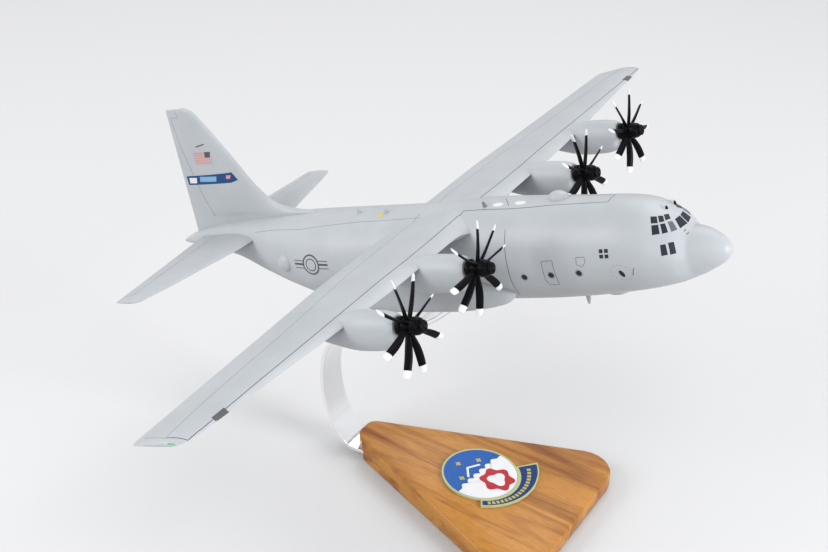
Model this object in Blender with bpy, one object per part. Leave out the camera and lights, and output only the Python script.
"""A carved desk model of a four-engined turboprop transport, on a bent metal arm and a wooden base.

The model climbs over its base. All its pieces are drawn in the aircraft's own axes: x runs forward from
the tip of the nose, y to port and z up, with the fuselage's centre line at z = 0. An empty carries them
to their place over the base. The base and the arm are drawn in the room's axes, with the table at z = 0.
"""
import math

import bmesh
import bpy
from mathutils import Matrix, Vector
from mathutils.bvhtree import BVHTree

MM = 0.001
GAP = 0.3                   # clearance between neighbouring pieces, in mm like every size below

# Place of the aircraft over the base
CLIMB_ANGLE = 20.0          # nose-up attitude, in degrees
NOSE_X = 223.4              # the aircraft's origin, in the room's axes
NOSE_Z = 277.0

# Fuselage
LENGTH = 457.0              # an 18 inch model
RADIUS = 33.2
BELLY = -35.6               # under the wing
FUSELAGE_SIDES = 36
FUSELAGE_STATIONS = (
    # distance aft of the nose, half width, top, waist, bottom
    (0.0, 0.5, -4.6, -5.1, -5.6),
    (1.2, 4.0, -0.8, -4.7, -8.6),
    (4.0, 7.2, 2.6, -4.6, -11.9),
    (8.0, 10.2, 5.8, -4.5, -14.7),
    (14.0, 13.5, 9.1, -4.4, -17.8),
    (20.0, 15.9, 10.9, -4.6, -20.5),
    (23.5, 17.2, 11.5, -4.7, -21.7),
    (27.0, 20.0, 14.7, -3.4, -22.9),
    (32.0, 23.8, 20.8, -1.6, -24.4),
    (39.0, 27.0, 25.4, -0.8, -25.9),
    (51.0, 30.6, 31.0, -0.5, -27.9),
    (68.0, 32.6, 33.2, -0.2, -30.1),
    (95.0, RADIUS, 33.8, 0.0, -32.9),
    (130.0, RADIUS, 35.2, 0.0, -34.8),
    (165.0, RADIUS, 35.8, 0.0, -35.3),
    (190.0, RADIUS, 34.8, 0.0, BELLY),
    (240.0, RADIUS, RADIUS, 0.0, BELLY),
    (288.0, RADIUS, RADIUS, 0.4, -36.0),
    (312.0, 32.2, 33.2, 1.6, -33.6),
    (340.0, 27.8, 33.0, 5.0, -25.0),
    (370.0, 20.4, 31.6, 10.0, -13.0),
    (398.0, 13.6, 29.0, 13.6, 0.5),
    (424.0, 8.4, 25.2, 15.2, 7.4),
    (444.0, 4.8, 20.8, 15.2, 11.0),
    (LENGTH, 1.0, 15.2, 14.2, 13.2),
)

# Wing
WING_TIP = 309.8
WING_STATIONS = (
    # distance from the centre line, leading edge aft, trailing edge aft, height of the trailing edge, thickness
    (0.0, 174.5, 250.3, 19.2, 19.6),
    (30.0, 174.5, 250.3, 19.2, 19.0),
    (42.0, 174.6, 250.3, 19.2, 15.2),
    (58.0, 174.8, 250.2, 19.3, 13.8),
    (105.0, 175.8, 249.4, 19.8, 12.6),
    (200.0, 183.6, 242.4, 21.2, 9.2),
    (296.0, 192.4, 235.4, 22.6, 6.2),
    (304.0, 194.2, 234.8, 22.7, 5.0),
    (308.4, 197.4, 234.0, 22.8, 3.2),
    (WING_TIP, 203.0, 232.6, 22.8, 1.2),
)
WING_INCIDENCE = 3.0        # degrees
AEROFOIL_STEPS = 11
AEROFOIL_UPPER_SHARE = 0.62

# Propellers and nacelles, from the port outboard engine to the starboard outboard one
ENGINES = (
    # number, distance aft, y, z
    (1, 139.2, 160.0, 21.9),
    (2, 137.2, 78.7, 21.2),
    (3, 137.2, -78.7, 21.2),
    (4, 139.2, -160.0, 21.9),
)
BLADE_DIRECTIONS = {
    # engine: degrees from upright towards port of its blades, which were glued in by hand
    1: (24, 68, 108, 160, 204, 251, 293, 337),
    2: (33, 78, 128, 170, 215, 260, 305, 351),
    3: (11, 55, 89, 142, 192, 236, 268, 318),
    4: (37, 82, 132, 181, 217, 261, 314, 355),
}
BLADE_LEANS = {
    # engine: degrees by which each blade leans forward
    1: (2, 0, 0, 0, -2, 0, 0, -2),
    2: (-1, 1, 1, 0, 0, 0, 0, -1),
    3: (9, 7, 5, -2, -9, -7, -4, -1),
    4: (-2, -2, 5, 1, 2, 0, -3, -2),
}
BLADE_STATIONS = (
    # radius, chord, blade angle in degrees, thickness, sweep towards the leading edge
    (4.2, 3.6, 62.0, 1.9, 0.0),
    (9.0, 4.6, 53.0, 1.5, 0.7),
    (15.0, 5.7, 43.0, 1.15, 1.5),
    (21.0, 6.0, 36.0, 0.95, 1.8),
    (27.0, 5.7, 31.0, 0.8, 1.7),
    (31.8, 5.0, 28.0, 0.6, 1.2),
)
HUB_RADIUS = 6.0
HUB_BACK = -7.0             # along the shaft, with the blades at 0
HUB_FRONT = 3.0
SPINNER_TIP = 12.8
PIN_RADIUS = 1.0
PIN_BACK = -17.0
PIN_FRONT = 1.0
NACELLE_SIDES = 24
NACELLE_STATIONS = (
    # distance behind the blades, half width, top, bottom, both from the shaft
    (HUB_BACK - GAP, 7.6, 7.0, -8.6),
    (9.0, 8.9, 8.2, -12.4),
    (13.0, 9.8, 9.0, -14.8),
    (20.0, 10.4, 9.6, -16.0),
    (34.0, 10.6, 10.0, -16.4),
    (48.0, 10.0, 10.2, -15.0),
    (62.0, 8.4, 9.0, -11.6),
    (76.0, 6.0, 7.0, -7.4),
    (88.0, 3.2, 4.6, -3.6),
)

# Wheel fairings on the fuselage's sides
FAIRING_STATIONS = (
    # distance aft, half height, middle height, half width
    (149.0, 1.5, -23.0, 1.5),
    (153.0, 4.5, -23.0, 4.2),
    (160.0, 7.0, -22.4, 6.8),
    (170.0, 9.6, -21.4, 9.4),
    (182.0, 12.0, -20.2, 11.4),
    (196.0, 13.8, -19.2, 12.2),
    (250.0, 14.4, -18.8, 12.2),
    (270.0, 12.6, -18.0, 10.6),
    (288.0, 8.0, -15.4, 7.0),
    (300.0, 1.5, -12.0, 1.5),
)
FAIRING_Y = 27.6
FAIRING_SIDES = 20

# Fin
FIN_STATIONS = (
    # height, leading edge aft, trailing edge aft, thickness
    (19.0, 312.0, 441.0, 7.4),
    (33.5, 318.0, 439.8, 7.4),
    (36.5, 338.0, 439.6, 7.4),
    (41.0, 352.0, 439.3, 7.4),
    (48.0, 361.6, 438.8, 7.2),
    (84.0, 384.8, 436.3, 5.6),
    (114.0, 404.2, 434.2, 4.0),
    (119.0, 408.4, 433.8, 3.2),
    (121.5, 413.0, 433.4, 1.6),
)

# Tailplane
TAILPLANE_HEIGHT = 19.5
TAILPLANE_STATIONS = (
    # distance from the centre line, leading edge aft, trailing edge aft, thickness
    (2.0, 365.0, 431.8, 8.4),
    (60.0, 380.4, 426.2, 6.2),
    (114.0, 394.4, 421.0, 3.8),
    (120.0, 396.6, 420.4, 3.0),
    (123.2, 401.0, 419.8, 1.2),
)

# Small forms on the fuselage: name, distance aft, y, length, width, height over the skin
DOMES = (
    ("radar_dome", 115.5, 1.5, 15.5, 12.0, 5.4),
    ("nose_dome_starboard", 38.6, -6.2, 8.0, 4.0, 2.1),
    ("nose_dome_port", 38.6, 6.2, 8.0, 4.0, 2.1),
    ("belly_dome", 85.0, -3.0, 17.0, 9.0, 2.6),
)
BLADE_AERIALS = (
    # name, distance aft, y, root chord, tip chord, height, side of the fuselage (1 top, -1 belly)
    ("top_aerial", 167.0, -9.0, 4.2, 3.0, 5.2, 1),
    ("rear_aerial_1", 251.0, -7.0, 3.4, 2.0, 3.0, 1),
    ("rear_aerial_2", 276.0, -5.5, 3.4, 2.0, 3.2, 1),
    ("belly_aerial", 109.5, 0.0, 5.0, 2.4, 9.2, -1),
)

# Round blisters on the rear sides
BLISTER_AFT = 338.5
BLISTER_Y = 26.6
BLISTER_Z = 4.8
BLISTER_RADIUS = 6.8
BLISTER_HEIGHT = 4.4

# Wooden base
BASE_NARROW_X = -41.6
BASE_WIDE_X = 143.2
BASE_NARROW_WIDTH = 20.2
BASE_WIDE_WIDTH = 179.0
BASE_NARROW_THICKNESS = 21.8
BASE_WIDE_THICKNESS = 13.6
BASE_NARROW_RADIUS = 9.6
BASE_WIDE_RADIUS = 25.0
BASE_EDGE_ROUND = 1.6

# Metal arm, 1 inch by 1/8 inch bar
ARM_WIDTH = 25.4
ARM_THICKNESS = 3.2
ARM_RECESS = 5.0            # how far the arm's foot lies above the table
ARM_FOOT = 47.7             # length of the foot under the base
ARM_CURVE = (
    # x forward of the base's narrow end, z, of the bar's middle between the foot and the belly
    (-4.3, 6.6),
    (-14.8, 13.4),
    (-24.9, 30.5),
    (-30.5, 50.0),
    (-31.7, 70.0),
    (-28.5, 89.0),
    (-18.3, 106.5),
    (-1.3, 119.5),
    (22.7, 130.5),
    (47.7, 139.6),
    (60.7, 148.2),
    (74.7, 162.4),
)
ARM_BELLY_START = 206.0     # where the bar meets the belly, aft of the nose
ARM_BELLY_END = 178.5
SCREW_HEAD_RADIUS = 3.2
SCREW_HEAD_HEIGHT = 1.8
SCREW_SHANK_RADIUS = 1.5
SCREW_SHANK_LENGTH = 9.0
BELLY_SCREWS = (184.0, 197.0)
BASE_SCREWS = (12.0, 36.0)  # forward of the base's narrow end

# Emblem on the base: a disc with a scroll along part of its edge
EMBLEM_X = 103.6            # forward of the base's narrow end
EMBLEM_Y = 1.4
EMBLEM_RADIUS = 29.6
EMBLEM_THICKNESS = 1.6
SCROLL_EDGE = (
    # angle from forward towards port, in degrees, and distance from the disc's centre
    (-61.0, 37.0),
    (-46.0, 37.2),
    (-31.0, 37.8),
    (-16.0, 38.8),
    (-1.0, 40.2),
    (14.0, 42.0),
    (29.0, 44.0),
    (41.0, 46.0),
    (52.0, 47.6),
)

COLOURS = {
    # name: colour, roughness, metallic
    "grey_paint": ((0.44, 0.46, 0.47), 0.45, 0.0),
    "black_paint": ((0.01, 0.01, 0.012), 0.35, 0.0),
    "polished_metal": ((0.75, 0.75, 0.74), 0.12, 1.0),
    "brass": ((0.62, 0.45, 0.18), 0.3, 1.0),
    "varnished_wood": ((0.48, 0.22, 0.08), 0.3, 0.0),
    "printed_plate": ((0.03, 0.12, 0.4), 0.35, 0.0),
}


def clear_scene():
    for item in list(bpy.data.objects):
        bpy.data.objects.remove(item, do_unlink=True)


def material(name):
    found = bpy.data.materials.get(name)
    if found:
        return found
    colour, roughness, metallic = COLOURS[name]
    made = bpy.data.materials.new(name)
    made.use_nodes = True
    shader = made.node_tree.nodes["Principled BSDF"]
    shader.inputs["Base Color"].default_value = (*colour, 1.0)
    shader.inputs["Roughness"].default_value = roughness
    shader.inputs["Metallic"].default_value = metallic
    return made


def add_object(name, mesh, finish=None, parent=None, location=(0.0, 0.0, 0.0)):
    item = bpy.data.objects.new(name, mesh)
    bpy.context.scene.collection.objects.link(item)
    item.location = Vector(location) * MM
    item.parent = parent
    if finish:
        item.data.materials.clear()
        item.data.materials.append(material(finish))
    return item


def make_cutter(item):
    item.hide_render = True
    item.display_type = "WIRE"
    return item


def cut(item, *cutters):
    for cutter in cutters:
        step = item.modifiers.new("cut_" + cutter.name, "BOOLEAN")
        step.operation = "DIFFERENCE"
        step.object = cutter


def finish_mesh(shape, name, smooth_below=math.radians(35.0)):
    """Close a bmesh with its faces pointing out, scale it from millimetres and make it a mesh."""
    bmesh.ops.recalc_face_normals(shape, faces=shape.faces)
    bmesh.ops.scale(shape, vec=(MM, MM, MM), verts=shape.verts)
    mesh = bpy.data.meshes.new(name)
    shape.to_mesh(mesh)
    shape.free()
    mesh.shade_smooth()
    mesh.set_sharp_from_angle(angle=smooth_below)
    return mesh


def loft(rings, name, **options):
    """Skin closed rings of equal length, with a flat cap on the first and the last."""
    shape = bmesh.new()
    rows = [[shape.verts.new(point) for point in ring] for ring in rings]
    count = len(rows[0])
    for near, far in zip(rows, rows[1:]):
        for i in range(count):
            j = (i + 1) % count
            shape.faces.new((near[i], near[j], far[j], far[i]))
    shape.faces.new(rows[0])
    shape.faces.new(rows[-1])
    return finish_mesh(shape, name, **options)


def circle_angles(count):
    return [2.0 * math.pi * i / count for i in range(count)]


def oval_ring(x, y, half_width, top, waist, bottom, count):
    """An upright oval whose upper and lower halves may differ in height."""
    ring = []
    for angle in circle_angles(count):
        rise = math.cos(angle)
        height = (top - waist) if rise > 0.0 else (waist - bottom)
        ring.append((x, y + half_width * math.sin(angle), waist + height * rise))
    return ring


def fuselage_mesh(name, grow=0.0):
    rings = []
    last = len(FUSELAGE_STATIONS) - 1
    for index, (aft, half_width, top, waist, bottom) in enumerate(FUSELAGE_STATIONS):
        ends = grow if index == 0 else -grow if index == last else 0.0
        ring = oval_ring(-aft + ends, 0.0, half_width + grow, top + grow, waist, bottom - grow, FUSELAGE_SIDES)
        rings.append(ring)
    return loft(rings, name)


def aerofoil(leading, trailing, thickness, grow, upper_share=0.5):
    """Points (aft, height) round a section, from the trailing edge over the top and back below."""
    steps = [0.5 * (1.0 - math.cos(math.pi * i / AEROFOIL_STEPS)) for i in range(AEROFOIL_STEPS + 1)]
    chord = trailing - leading

    def half(share):
        root = 1.4845 * math.sqrt(share) - 0.63 * share - 1.758 * share ** 2
        return root + 1.4215 * share ** 3 - 0.5075 * share ** 4

    upper = [(leading + chord * s, 2.0 * upper_share * thickness * half(s)) for s in steps]
    lower = [(leading + chord * s, -2.0 * (1.0 - upper_share) * thickness * half(s)) for s in steps]
    points = list(reversed(upper)) + lower[1:]
    middle = 0.5 * (leading + trailing)
    stretch = (chord + 2.0 * grow) / chord
    grown = []
    for aft, height in points:
        lift = grow if height >= 0.0 else -grow
        grown.append((middle + (aft - middle) * stretch, height + lift))
    return grown


def wing_mesh(name, grow=0.0):
    slope = math.tan(math.radians(WING_INCIDENCE))
    sides = [(-y, *rest) for y, *rest in reversed(WING_STATIONS[1:])]
    rings = []
    for y, leading, trailing, height, thickness in sides + list(WING_STATIONS):
        section = aerofoil(leading, trailing, thickness, grow, AEROFOIL_UPPER_SHARE)
        ring = [(-aft, y, height + rise + (trailing - aft) * slope) for aft, rise in section]
        rings.append(ring)
    return loft(rings, name)


def nacelle_mesh(name):
    rings = []
    for behind, half_width, top, bottom in NACELLE_STATIONS:
        waist = -0.12 * (top - bottom)
        rings.append(oval_ring(-abs(behind), 0.0, half_width, top, waist, bottom, NACELLE_SIDES))
    return loft(rings, name)


def turned_mesh(name, profile, count, **options):
    """Turn (x, radius) points about the x axis, closed at each end by a flat face."""
    rings = []
    for x, radius in profile:
        ring = [(x, radius * math.sin(angle), radius * math.cos(angle)) for angle in circle_angles(count)]
        rings.append(ring)
    return loft(rings, name, **options)


def blade_mesh(name):
    """One blade standing upright, whose leading edge turns towards starboard."""
    outline = ((-0.5, 0.0), (-0.2, 0.45), (0.2, 0.5), (0.5, 0.0), (0.2, -0.3), (-0.2, -0.3))
    rings = []
    for radius, chord, angle, thickness, sweep in BLADE_STATIONS:
        sine = math.sin(math.radians(angle))
        cosine = math.cos(math.radians(angle))
        ring = []
        for along, over in outline:
            forward = along * chord + sweep
            lift = over * thickness
            ring.append((forward * sine + lift * cosine, -forward * cosine + lift * sine, radius))
        rings.append(ring)
    return loft(rings, name, smooth_below=math.radians(60.0))


def propeller_mesh(directions, leans):
    """Hub and blades fused, with a blind bore for the pin."""
    hub_profile = (
        (HUB_BACK, HUB_RADIUS - 0.6),
        (HUB_BACK + 0.8, HUB_RADIUS),
        (HUB_FRONT, HUB_RADIUS),
    )
    hub = add_object("hub_shape", turned_mesh("hub_shape", hub_profile, 24))
    blade = blade_mesh("blade_shape")
    helpers = [hub]
    for index, (direction, lean) in enumerate(zip(directions, leans)):
        item = add_object(f"blade_shape_{index}", blade)
        turn = Matrix.Rotation(-math.radians(direction), 4, "X")
        item.matrix_world = turn @ Matrix.Rotation(math.radians(lean), 4, "Y")
        helpers.append(item)
        step = hub.modifiers.new(f"blade_{index}", "BOOLEAN")
        step.operation = "UNION"
        step.object = item
    bore_profile = ((HUB_BACK - 1.0, PIN_RADIUS + GAP), (PIN_FRONT + GAP, PIN_RADIUS + GAP))
    bore = add_object("bore_shape", turned_mesh("bore_shape", bore_profile, 12))
    helpers.append(bore)
    cut(hub, bore)
    graph = bpy.context.evaluated_depsgraph_get()
    mesh = bpy.data.meshes.new_from_object(hub.evaluated_get(graph))
    mesh.name = "propeller"
    for item in helpers:
        bpy.data.objects.remove(item, do_unlink=True)
    return mesh


def build_engines(aircraft, wing_cutter):
    spinner_profile = [(HUB_FRONT + GAP, HUB_RADIUS - 0.1)]
    steps = 6
    length = SPINNER_TIP - HUB_FRONT - GAP
    for index in range(1, steps + 1):
        share = index / steps
        x = HUB_FRONT + GAP + length * share
        spinner_profile.append((x, max(0.6, (HUB_RADIUS - 0.1) * math.sqrt(1.0 - share ** 2.2))))
    spinner = turned_mesh("spinner", spinner_profile, 20)
    pin = turned_mesh("propeller_pin", ((PIN_BACK, PIN_RADIUS), (PIN_FRONT, PIN_RADIUS)), 12)
    bore = turned_mesh(
        "pin_bore", ((PIN_BACK - GAP, PIN_RADIUS + GAP), (HUB_BACK + 1.0, PIN_RADIUS + GAP)), 12
    )
    nacelle = nacelle_mesh("nacelle")
    for number, aft, y, z in ENGINES:
        place = (-aft, y, z)
        body = add_object(f"nacelle_{number}", nacelle.copy(), "grey_paint", aircraft, place)
        hole = make_cutter(add_object(f"pin_bore_{number}", bore, None, aircraft, place))
        cut(body, wing_cutter, hole)
        add_object(f"propeller_pin_{number}", pin.copy(), "brass", aircraft, place)
        propeller = propeller_mesh(BLADE_DIRECTIONS[number], BLADE_LEANS[number])
        add_object(f"propeller_{number}", propeller, "black_paint", aircraft, place)
        add_object(f"spinner_{number}", spinner.copy(), "black_paint", aircraft, place)


def fin_mesh(name):
    rings = []
    for height, leading, trailing, thickness in FIN_STATIONS:
        section = aerofoil(leading, trailing, thickness, 0.0)
        rings.append([(-aft, side, height) for aft, side in section])
    return loft(rings, name)


def tailplane_mesh(name, side):
    rings = []
    for y, leading, trailing, thickness in TAILPLANE_STATIONS:
        section = aerofoil(leading, trailing, thickness, 0.0)
        rings.append([(-aft, side * y, TAILPLANE_HEIGHT + rise) for aft, rise in section])
    return loft(rings, name)


def fairing_mesh(name, side):
    """A wheel fairing: a long pod with squarish sections, whose inner half the fuselage takes away."""
    rings = []
    for aft, half_height, middle, half_width in FAIRING_STATIONS:
        ring = []
        for angle in circle_angles(FAIRING_SIDES):
            across = math.copysign(abs(math.sin(angle)) ** 0.7, math.sin(angle))
            up = math.copysign(abs(math.cos(angle)) ** 0.7, math.cos(angle))
            ring.append((-aft, side * FAIRING_Y + half_width * across, middle + half_height * up))
        rings.append(ring)
    return loft(rings, name)


def skin_height(tree, aft, y, side):
    """Height of the fuselage's skin at a station, on the top (side 1) or the belly (side -1)."""
    start = Vector((-aft, y, side * 3.0 * RADIUS)) * MM
    hit = tree.ray_cast(start, Vector((0.0, 0.0, -side)))
    return hit[0].z / MM


def dome_mesh(name, aft, y, length, width, height, base, side):
    """A flattened dome whose rim runs a little into the skin, which then takes its underside away."""
    rings = []
    levels = 5
    sink = 3.0
    rings.append(dome_ring(aft, y, length, width, base - side * sink))
    for level in range(levels + 1):
        share = level / levels * 0.96
        shrink = math.sqrt(1.0 - share * share)
        rings.append(dome_ring(aft, y, length * shrink, width * shrink, base + side * height * share))
    return loft(rings, name)


def dome_ring(aft, y, length, width, z, count=16):
    ring = []
    for angle in circle_angles(count):
        ring.append((-aft + 0.5 * length * math.cos(angle), y + 0.5 * width * math.sin(angle), z))
    return ring


def aerial_mesh(name, aft, y, root, tip, height, base, side):
    rings = []
    for share in (-0.35, 0.0, 1.0):
        chord = root + (tip - root) * max(share, 0.0)
        lean = 0.12 * height * max(share, 0.0)
        section = ((0.5, 0.0), (0.15, 0.16), (-0.5, 0.04), (-0.5, -0.04), (0.15, -0.16))
        z = base + side * height * share
        rings.append([(-aft - lean + chord * a, y + chord * b, z) for a, b in section])
    return loft(rings, name)


def build_blisters(aircraft, body_cutter):
    steps = 5
    profile = [(-4.0, BLISTER_RADIUS)]
    for index in range(steps + 1):
        share = 0.96 * index / steps
        profile.append((BLISTER_HEIGHT * share, BLISTER_RADIUS * math.sqrt(1.0 - share * share)))
    for name, side in (("port", 1.0), ("starboard", -1.0)):
        place = (-BLISTER_AFT, side * BLISTER_Y, BLISTER_Z)
        mesh = turned_mesh("rear_blister", profile, 20)
        item = add_object(f"rear_blister_{name}", mesh, "grey_paint", aircraft, place)
        item.rotation_euler.z = side * math.radians(90.0)
        cut(item, body_cutter)


def build_aircraft(aircraft):
    wing_cutter = make_cutter(add_object("wing_cutter", wing_mesh("wing_cutter", GAP), None, aircraft))
    body_cutter = make_cutter(add_object("body_cutter", fuselage_mesh("body_cutter", GAP), None, aircraft))
    fuselage = add_object("fuselage", fuselage_mesh("fuselage"), "grey_paint", aircraft)
    cut(fuselage, wing_cutter)
    add_object("wing", wing_mesh("wing"), "grey_paint", aircraft)
    build_engines(aircraft, wing_cutter)
    fin = add_object("fin", fin_mesh("fin"), "grey_paint", aircraft)
    cut(fin, body_cutter)
    for name, side in (("port", 1.0), ("starboard", -1.0)):
        tailplane = add_object(f"tailplane_{name}", tailplane_mesh("tailplane", side), "grey_paint", aircraft)
        cut(tailplane, body_cutter)
        fairing = add_object(f"wheel_fairing_{name}", fairing_mesh("fairing", side), "grey_paint", aircraft)
        cut(fairing, body_cutter)
    tree = BVHTree.FromPolygons(
        [vertex.co.copy() for vertex in body_cutter.data.vertices],
        [tuple(face.vertices) for face in body_cutter.data.polygons],
    )
    for name, aft, y, length, width, height in DOMES:
        side = -1.0 if name.startswith("belly") else 1.0
        base = skin_height(tree, aft, y, side)
        mesh = dome_mesh(name, aft, y, length, width, height, base, side)
        cut(add_object(name, mesh, "grey_paint", aircraft), body_cutter)
    for name, aft, y, root, tip, height, side in BLADE_AERIALS:
        base = skin_height(tree, aft, y, side)
        mesh = aerial_mesh(name, aft, y, root, tip, height, base, side)
        cut(add_object(name, mesh, "grey_paint", aircraft), body_cutter)
    build_blisters(aircraft, body_cutter)


def rounded_outline(corners, steps=7):
    """Replace each corner (x, y, radius) of a convex outline by an arc."""
    points = []
    count = len(corners)
    for i, (x, y, radius) in enumerate(corners):
        here = Vector((x, y))
        before = (Vector(corners[i - 1][:2]) - here).normalized()
        after = (Vector(corners[(i + 1) % count][:2]) - here).normalized()
        half = 0.5 * before.angle(after)
        centre = here + (before + after).normalized() * radius / math.sin(half)
        start = here + before * radius / math.tan(half) - centre
        end = here + after * radius / math.tan(half) - centre
        sweep = start.angle_signed(end)
        for step in range(steps + 1):
            arm = start.copy()
            arm.rotate(Matrix.Rotation(-sweep * step / steps, 2))
            points.append(centre + arm)
    return points


def base_top(x):
    share = (x - BASE_NARROW_X) / (BASE_WIDE_X - BASE_NARROW_X)
    return BASE_NARROW_THICKNESS + share * (BASE_WIDE_THICKNESS - BASE_NARROW_THICKNESS)


def base_mesh():
    """A wedge with a rounded triangular outline, thicker at its narrow end, its edges eased."""
    corners = (
        (BASE_NARROW_X, 0.5 * BASE_NARROW_WIDTH, BASE_NARROW_RADIUS),
        (BASE_NARROW_X, -0.5 * BASE_NARROW_WIDTH, BASE_NARROW_RADIUS),
        (BASE_WIDE_X, -0.5 * BASE_WIDE_WIDTH, BASE_WIDE_RADIUS),
        (BASE_WIDE_X, 0.5 * BASE_WIDE_WIDTH, BASE_WIDE_RADIUS),
    )
    outline = rounded_outline(corners)
    rings = [[(p.x, p.y, 0.0) for p in outline], [(p.x, p.y, base_top(p.x)) for p in outline]]
    return loft(rings, "base")


def arm_path():
    """Points of the bar's middle line, from the foot's end under the base to the end on the belly."""
    curve = [Vector((BASE_NARROW_X + ARM_FOOT, ARM_RECESS + 0.5 * ARM_THICKNESS))]
    curve += [Vector((BASE_NARROW_X + x, z)) for x, z in ARM_CURVE]
    depth = BELLY - GAP - 0.5 * ARM_THICKNESS
    start = aircraft_to_room(-ARM_BELLY_START, depth)
    end = aircraft_to_room(-ARM_BELLY_END, depth)
    curve += [start, end]
    return smooth_path(curve)


def aircraft_to_room(x, z):
    sine = math.sin(math.radians(CLIMB_ANGLE))
    cosine = math.cos(math.radians(CLIMB_ANGLE))
    return Vector((NOSE_X + x * cosine - z * sine, NOSE_Z + x * sine + z * cosine))


def smooth_path(points, steps=3):
    """A curve through the points. Its first and last stretches stay straight."""
    path = [points[0]]
    last = len(points) - 2
    for i in range(1, last):
        before, here, after, beyond = points[i - 1], points[i], points[i + 1], points[i + 2]
        for step in range(steps):
            t = step / steps
            path.append(spline_point(before, here, after, beyond, t))
    path.append(points[-2])
    path.append(points[-1])
    return path


def spline_point(before, here, after, beyond, t):
    """Centripetal spline between here and after."""
    knots = [0.0]
    for a, b in ((before, here), (here, after), (after, beyond)):
        knots.append(knots[-1] + math.sqrt((b - a).length))
    k0, k1, k2, k3 = knots
    k = k1 + (k2 - k1) * t
    a1 = before * ((k1 - k) / (k1 - k0)) + here * ((k - k0) / (k1 - k0))
    a2 = here * ((k2 - k) / (k2 - k1)) + after * ((k - k1) / (k2 - k1))
    a3 = after * ((k3 - k) / (k3 - k2)) + beyond * ((k - k2) / (k3 - k2))
    b1 = a1 * ((k2 - k) / (k2 - k0)) + a2 * ((k - k0) / (k2 - k0))
    b2 = a2 * ((k3 - k) / (k3 - k1)) + a3 * ((k - k1) / (k3 - k1))
    return b1 * ((k2 - k) / (k2 - k1)) + b2 * ((k - k1) / (k2 - k1))


def arm_mesh():
    path = arm_path()
    rings = []
    half = 0.5 * ARM_WIDTH
    for i, point in enumerate(path):
        before = path[max(i - 1, 0)]
        after = path[min(i + 1, len(path) - 1)]
        along = (after - before).normalized()
        out = Vector((-along.y, along.x)) * 0.5 * ARM_THICKNESS
        inner = point + out
        outer = point - out
        rings.append([
            (inner.x, half, inner.y), (inner.x, -half, inner.y),
            (outer.x, -half, outer.y), (outer.x, half, outer.y),
        ])
    return loft(rings, "arm")


def screw_mesh(name, grow=0.0):
    """A pan-head screw along +x from the underside of its head, which lies at x below 0."""
    head = SCREW_HEAD_RADIUS + grow
    shank = SCREW_SHANK_RADIUS + grow
    profile = (
        (-SCREW_HEAD_HEIGHT - grow, head - 0.9),
        (-SCREW_HEAD_HEIGHT + 0.7, head),
        (-grow, head),
        (-grow + 0.02, shank),
        (SCREW_SHANK_LENGTH + grow, shank),
    )
    return turned_mesh(name, profile, 16)


def place_screw(name, seat, direction, holed):
    """Put a screw with its head's underside at seat, its shank along direction, and drill for it."""
    turn = Vector((1.0, 0.0, 0.0)).rotation_difference(Vector(direction)).to_matrix().to_4x4()
    shift = Matrix.Translation(Vector(seat) * MM)
    screw = add_object(name, screw_mesh(name), "polished_metal")
    screw.matrix_world = shift @ turn
    drill = make_cutter(add_object(f"drill_{name}", screw_mesh("drill", GAP)))
    drill.matrix_world = shift @ turn
    for item in holed:
        cut(item, drill)


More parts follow.
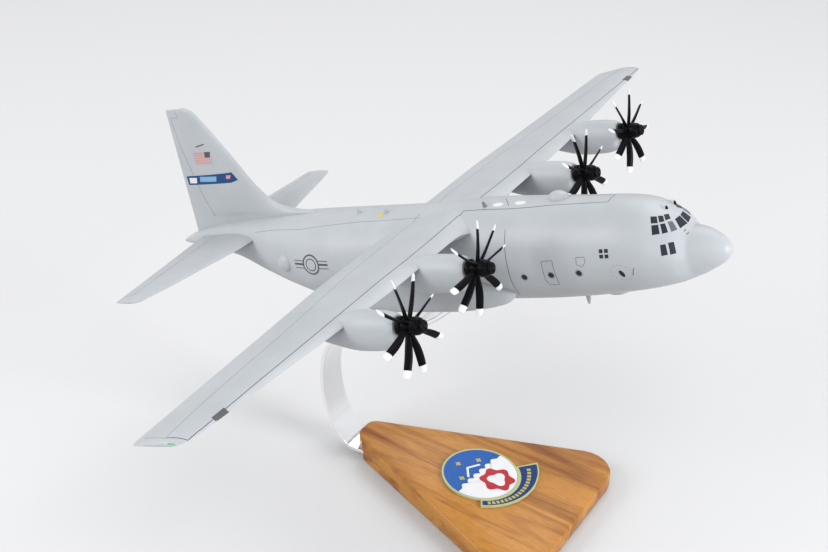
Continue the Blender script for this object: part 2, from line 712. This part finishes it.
def build_stand(fuselage):
    base = add_object("base", base_mesh(), "varnished_wood")
    ease = base.modifiers.new("eased_edges", "BEVEL")
    ease.width = BASE_EDGE_ROUND * MM
    ease.segments = 2
    ease.limit_method = "ANGLE"
    ease.angle_limit = math.radians(40.0)
    arm = add_object("arm", arm_mesh(), "polished_metal")
    slot_start = BASE_NARROW_X - 10.0
    slot_end = BASE_NARROW_X + ARM_FOOT + 4.0
    slot_half = 0.5 * ARM_WIDTH + 1.0
    slot_top = ARM_RECESS + ARM_THICKNESS + GAP
    ring = [(-slot_half, -5.0), (slot_half, -5.0), (slot_half, slot_top), (-slot_half, slot_top)]
    slot_rings = [[(x, y, z) for y, z in ring] for x in (slot_start, slot_end)]
    slot = make_cutter(add_object("slot_cutter", loft(slot_rings, "slot_cutter")))
    cut(base, slot)
    for index, x in enumerate(BASE_SCREWS, start=1):
        seat = (BASE_NARROW_X + x, 0.0, ARM_RECESS - GAP)
        place_screw(f"base_screw_{index}", seat, (0.0, 0.0, 1.0), (arm, base))
    up = Vector((-math.sin(math.radians(CLIMB_ANGLE)), 0.0, math.cos(math.radians(CLIMB_ANGLE))))
    for index, aft in enumerate(BELLY_SCREWS, start=1):
        seat = aircraft_to_room(-aft, BELLY - 2.0 * GAP - ARM_THICKNESS)
        place_screw(f"belly_screw_{index}", (seat.x, 0.0, seat.y), up, (arm, fuselage))


def emblem_outline():
    """Points (x, y) from the disc's centre: round the disc, then out along the scroll."""
    start, end = SCROLL_EDGE[0][0], SCROLL_EDGE[-1][0]
    steps = 30
    points = []
    for index in range(steps + 1):
        points.append((end + (360.0 + start - end) * index / steps, EMBLEM_RADIUS))
    points += SCROLL_EDGE
    outline = []
    for angle, radius in points:
        turn = math.radians(angle)
        outline.append((radius * math.cos(turn), radius * math.sin(turn)))
    return outline


def build_emblem():
    """A printed plate that lies on the sloping top of the base."""
    rings = []
    for lift in (GAP, GAP + EMBLEM_THICKNESS):
        ring = []
        for along, across in emblem_outline():
            x = BASE_NARROW_X + EMBLEM_X + along
            ring.append((x, EMBLEM_Y + across, base_top(x) + lift))
        rings.append(ring)
    add_object("emblem_plate", loft(rings, "emblem_plate"), "printed_plate")


def main():
    clear_scene()
    aircraft = bpy.data.objects.new("aircraft_axes", None)
    bpy.context.scene.collection.objects.link(aircraft)
    aircraft.location = (NOSE_X * MM, 0.0, NOSE_Z * MM)
    aircraft.rotation_euler = (0.0, -math.radians(CLIMB_ANGLE), 0.0)
    bpy.context.view_layer.update()
    build_aircraft(aircraft)
    bpy.context.view_layer.update()
    build_stand(bpy.data.objects["fuselage"])
    build_emblem()
    bpy.context.view_layer.update()


if __name__ == "__main__":
    main()
